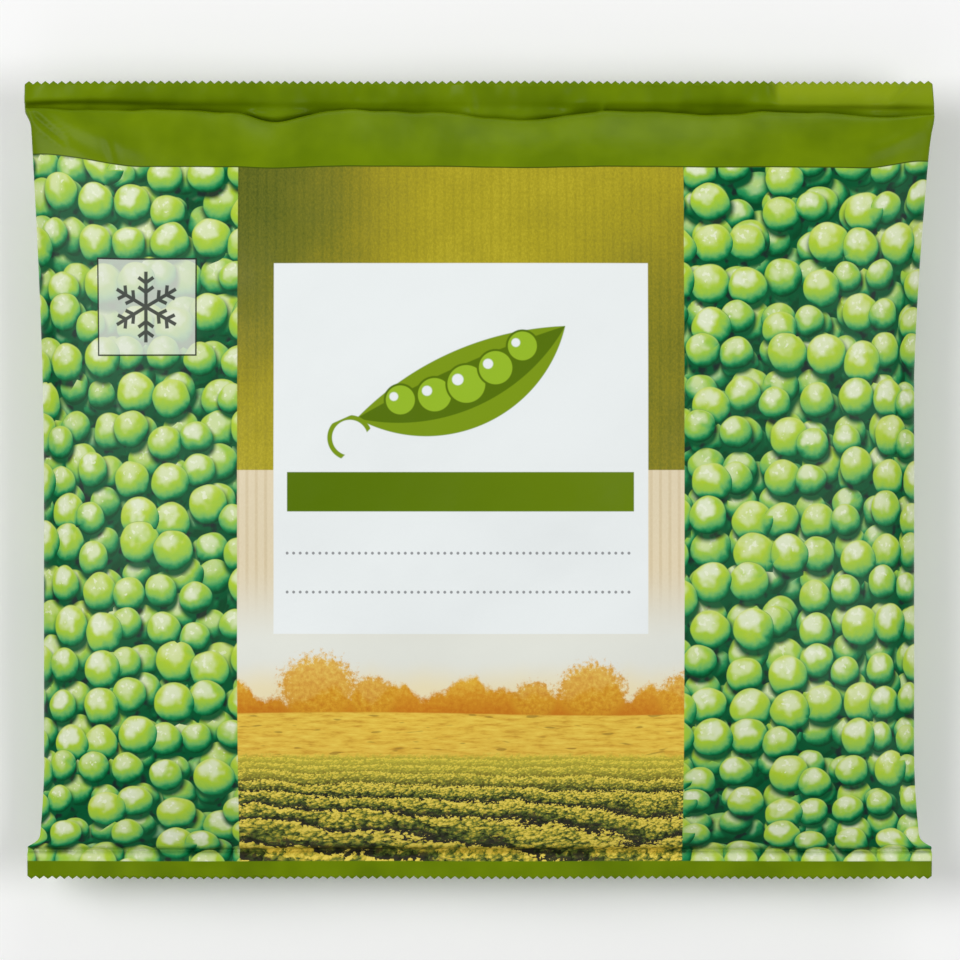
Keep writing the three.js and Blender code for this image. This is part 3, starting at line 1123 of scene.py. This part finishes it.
def green_print(u, v):
    line = between(v, BAND_TOP - 0.2, BAND_TOP + 0.3, 0.15)
    green = ramp(noise(vector(u, v), scale=0.09), *GREEN_TONES)
    # Painted light: the stretch of the top seal that leans outwards is painted paler green, on top of the
    # light that its real lean catches
    lean = SEAL_LIGHT_PATCH["lean"]
    low_slant, high_slant = lean["slants"]
    outside = v - SEAL_LIGHT_PATCH["foot"]
    right_of_start = above(u - low_slant * outside, lean["from"], SEAL_LIGHT_PATCH["soft"])
    left_of_end = below(u - high_slant * outside, lean["to"], SEAL_LIGHT_PATCH["soft"])
    left_of_fold = below(u, GIRTH / 4, 1.0)
    inside_end = left_of_end + SEAL_LIGHT_PATCH["past_end"] * (left_of_fold - left_of_end)
    light_strength = SEAL_LIGHT_STRENGTH["least"] + SEAL_LIGHT_STRENGTH["spread"] * smooth(outside, 0.6, 3.0)
    painted_light = right_of_start * inside_end * above(outside, 0.0, 1.5) * light_strength
    green = paint(painted_light, green, LIT_GREEN)
    return paint(line * 0.75, green, LINE_COLOUR)


# The film's finish: its specular level, how rough it is, and a fine unevenness, its depth in metres
FILM_GLOSS = 0.11
GREEN_GLOSS = 0.075
ROUGHNESS = {"least": 0.28, "spread": 0.12}
UNEVEN = {"Strength": 0.10, "Distance": 0.0004}


def film_material():
    """The printed film. Each field has its own shader, so that only one is worked out at a place."""
    material = bpy.data.materials.new("printed_film")
    material.use_nodes = True
    tree = material.node_tree
    tree.nodes.remove(tree.nodes["Principled BSDF"])
    film = tree.nodes.new("ShaderNodeUVMap")
    film.uv_map = "film"
    around, along, _ = split(Out(film.outputs["UV"]))
    u = (around - 0.5) * GIRTH
    v = along * FILM_LENGTH + FILM_BOTTOM
    place = vector(u, v)
    roughness = ROUGHNESS["least"] + ROUGHNESS["spread"] * noise(place, scale=0.12, detail=1.0)
    bump = new_node(place, "Bump", {**UNEVEN, "Height": noise(place, scale=0.4)})
    surface = {"Roughness": roughness, "Normal": Out(bump.outputs["Normal"])}

    def finish(shade, gloss=FILM_GLOSS):
        values = {"Base Color": shade, "Specular IOR Level": gloss, **surface}
        return Out(new_node(place, "BsdfPrincipled", values).outputs[0])

    def join(factor, first, second):
        return Out(new_node(factor, "MixShader", {0: factor, 1: first, 2: second}).outputs[0])

    peas = pea_print(u, v)
    sides = join(rectangle(u, v, **BOX, soft=0.15), finish(peas), finish(box_print(peas, u, v)))
    back = above(size_of(u), BACK_PANEL["from"], 0.3)
    back = back * between(v, BACK_PANEL["bottom"], BACK_PANEL["top"], 0.3)
    sides = join(back, sides, finish(colour(*BACK_COLOUR)))
    board = board_print(u, v)
    panel = join(on_field(v), finish(board), finish(field_print(board, u, v)))
    panel = join(rectangle(u, v, **LABEL), panel, finish(label_print(colour(*LABEL_COLOUR), u, v)))
    whole = join(on_green(v), join(on_panel(u, v), sides, panel), finish(green_print(u, v), GREEN_GLOSS))
    plug(tree.nodes["Material Output"].inputs["Surface"], whole)
    return material


def plain_material(name, shade, roughness):
    material = bpy.data.materials.new(name)
    material.use_nodes = True
    shader = material.node_tree.nodes["Principled BSDF"]
    shader.inputs["Base Color"].default_value = colour(*shade)
    shader.inputs["Roughness"].default_value = roughness
    return material


# The studio: a pale floor, soft lights with their places in metres, and a long lens straight above the bag
FLOOR_SIDE = 8.0
FLOOR_COLOUR = (251, 251, 251)
FLOOR_ROUGHNESS = 0.7
SKY_STRENGTH = 0.22
SENSOR = 36.0
LIGHTS = (
    {"name": "left", "place": (-1.05, 0.35, 1.25), "size": 1.0, "watts": 15.4},
    {"name": "right", "place": (1.05, -0.10, 1.25), "size": 1.0, "watts": 10.7},
    {"name": "far", "place": (0.30, 1.46, 0.55), "size": 0.6, "watts": 4.8},
    {"name": "front", "place": (-0.20, -1.30, 0.90), "size": 0.9, "watts": 1.6},
)


def build_stage():
    half = FLOOR_SIDE / 2
    mesh = bpy.data.meshes.new("floor")
    corners = [(-half, -half, 0), (half, -half, 0), (half, half, 0), (-half, half, 0)]
    mesh.from_pydata(corners, [], [(0, 1, 2, 3)])
    floor = bpy.data.objects.new("floor", mesh)
    floor.data.materials.append(plain_material("floor_paint", FLOOR_COLOUR, FLOOR_ROUGHNESS))
    bpy.context.scene.collection.objects.link(floor)
    world = bpy.data.worlds.new("studio")
    bpy.context.scene.world = world
    world.use_nodes = True
    sky = world.node_tree.nodes["Background"]
    sky.inputs["Color"].default_value = (1, 1, 1, 1)
    sky.inputs["Strength"].default_value = SKY_STRENGTH
    for each in LIGHTS:
        data = bpy.data.lights.new(each["name"], "AREA")
        data.energy = each["watts"]
        data.size = each["size"]
        light = bpy.data.objects.new(each["name"], data)
        light.location = each["place"]
        light.rotation_euler = (-Vector(each["place"])).to_track_quat("-Z", "Y").to_euler()
        bpy.context.scene.collection.objects.link(light)


def build_camera():
    data = bpy.data.cameras.new("camera")
    data.sensor_width = SENSOR
    data.lens = SENSOR * (CAMERA_HEIGHT - SEAL_HEIGHT) / (PHOTO_SIDE * PIXEL)
    camera = bpy.data.objects.new("camera", data)
    centre = PHOTO_SIDE / 2
    camera.location = Vector((across_from_pixel(centre), along_from_pixel(centre), CAMERA_HEIGHT)) * METRE
    bpy.context.scene.collection.objects.link(camera)
    bpy.context.scene.camera = camera


build_camera()
build_stage()
bag = build_film()
bag.data.materials.append(film_material())
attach(bag, "root")
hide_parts("pea_bag")
bpy.context.scene.view_settings.view_transform = "Standard"
